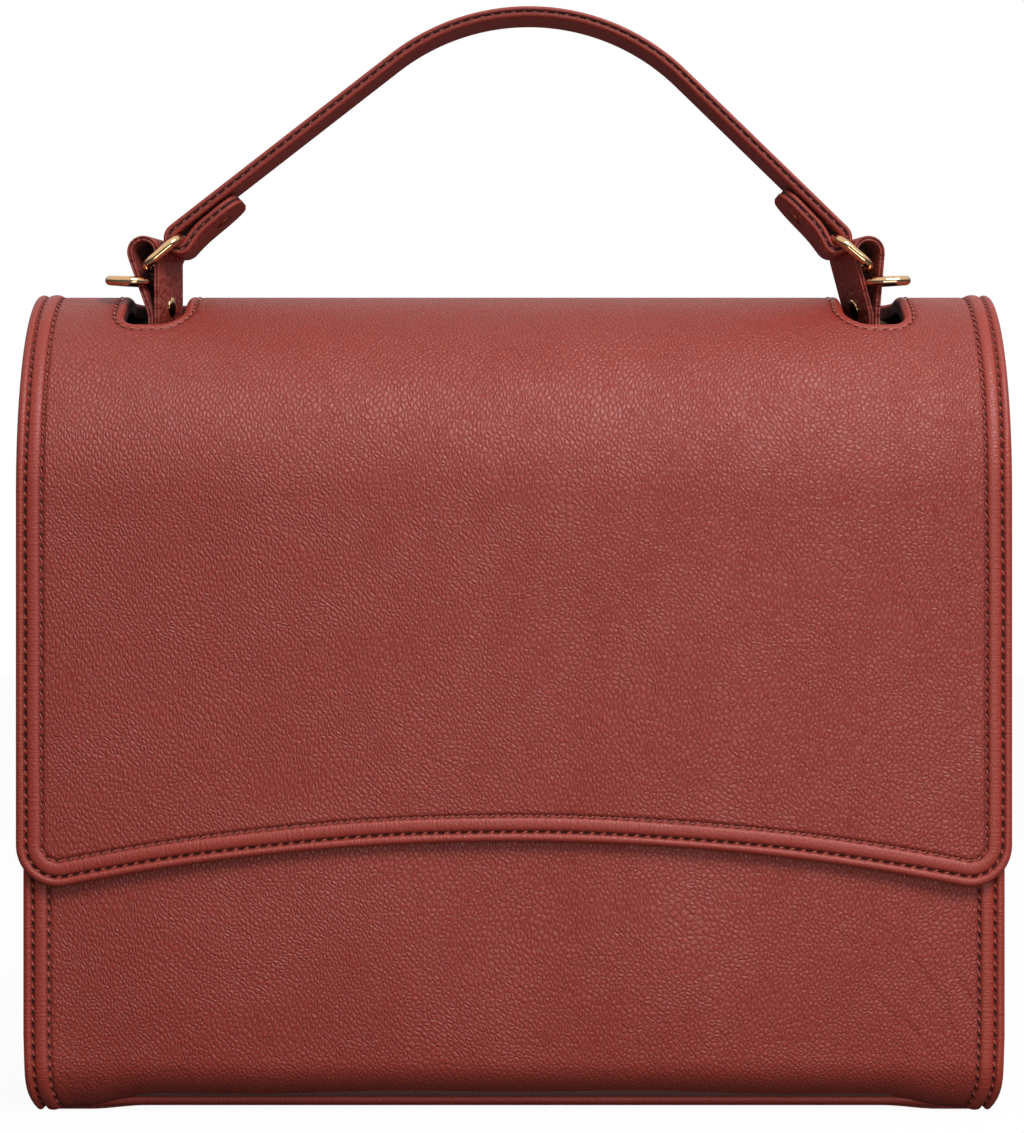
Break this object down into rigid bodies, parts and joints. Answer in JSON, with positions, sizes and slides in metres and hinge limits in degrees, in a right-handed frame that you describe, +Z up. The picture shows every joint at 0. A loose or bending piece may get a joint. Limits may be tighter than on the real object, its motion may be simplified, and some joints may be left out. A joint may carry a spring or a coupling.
{
  "type": "top handle bag",
  "caption": "Structured leather top handle satchel with a wide padded flap over a rounded crown, an arched strap handle and gold rings.",
  "frame": {"origin": "on the surface that the bag stands on, under the middle of its box", "axes": "+Z up, -Y to the front where the flap hangs, +X to the right seen from the front"},
  "size_m": [0.298, 0.114, 0.3384],
  "materials": {
    "leather": "pebbled, satin",
    "lining_cloth": "matt",
    "board": "matt fibreboard",
    "gold_metal": "polished",
    "anchor_steel": "satin"
  },
  "bodies": {
    "bag": {"front_panel": "leather", "left_front_band": "leather", "right_front_band": "leather", "left_front_piping": "leather", "right_front_piping": "leather", "back_panel": "leather", "left_back_band": "leather", "right_back_band": "leather", "left_back_piping": "leather", "right_back_piping": "leather", "left_gusset": "leather", "right_gusset": "leather", "base_panel": "leather", "front_base_welt": "leather", "rear_base_welt": "leather", "mouth_binding": "leather", "crown_panel": "leather", "left_crown_border": "leather", "right_crown_border": "leather", "left_crown_edge": "leather", "right_crown_edge": "leather", "left_slot_facing": "leather", "right_slot_facing": "leather", "bag_lining": "lining_cloth", "slip_pocket": "lining_cloth", "crown_lining": "lining_cloth", "base_board": "board", "crown_board": "board", "catch_socket": "gold_metal", "left_handle_anchor": "anchor_steel", "right_handle_anchor": "anchor_steel", "left_anchor_rivets": "anchor_steel", "right_anchor_rivets": "anchor_steel"},
    "flap": {"flap_panel": "leather", "flap_border": "leather", "flap_edge": "leather", "flap_lining": "lining_cloth", "catch_magnet": "gold_metal"},
    "handle": {"strap_top_layer": "leather", "strap_under_layer": "leather", "left_tail_rivet": "gold_metal", "right_tail_rivet": "gold_metal", "left_lug": "leather", "right_lug": "leather", "left_lug_rivet": "gold_metal", "right_lug_rivet": "gold_metal", "left_lug_pin": "anchor_steel", "right_lug_pin": "anchor_steel"},
    "left_link_ring": {"left_link_ring": "gold_metal"},
    "right_link_ring": {"right_link_ring": "gold_metal"},
    "left_side_ring": {"left_side_ring": "gold_metal"},
    "right_side_ring": {"right_side_ring": "gold_metal"}
  },
  "joints": [
    {"name": "flap_fold", "type": "hinge", "parent": "bag", "child": "flap", "pos_m": [0, -0.038, 0.2338], "axis": [-1, 0, 0], "range_deg": [0, 120]},
    {"name": "handle_swing", "type": "hinge", "parent": "bag", "child": "handle", "pos_m": [0, -0.008, 0.231], "axis": [1, 0, 0], "range_deg": [-8, 25]},
    {"name": "left_link_rock", "type": "hinge", "parent": "handle", "child": "left_link_ring", "pos_m": [-0.10361, -0.008, 0.26638], "axis": [0, 1, 0], "range_deg": [0, 8]},
    {"name": "left_side_ring_lift", "type": "hinge", "parent": "handle", "child": "left_side_ring", "pos_m": [-0.1141, -0.008, 0.2532], "axis": [0, 1, 0], "range_deg": [0, 40]},
    {"name": "right_link_rock", "type": "hinge", "parent": "handle", "child": "right_link_ring", "pos_m": [0.09991, -0.008, 0.26638], "axis": [0, -1, 0], "range_deg": [0, 8]},
    {"name": "right_side_ring_lift", "type": "hinge", "parent": "handle", "child": "right_side_ring", "pos_m": [0.1104, -0.008, 0.2532], "axis": [0, -1, 0], "range_deg": [0, 40]}
  ]
}
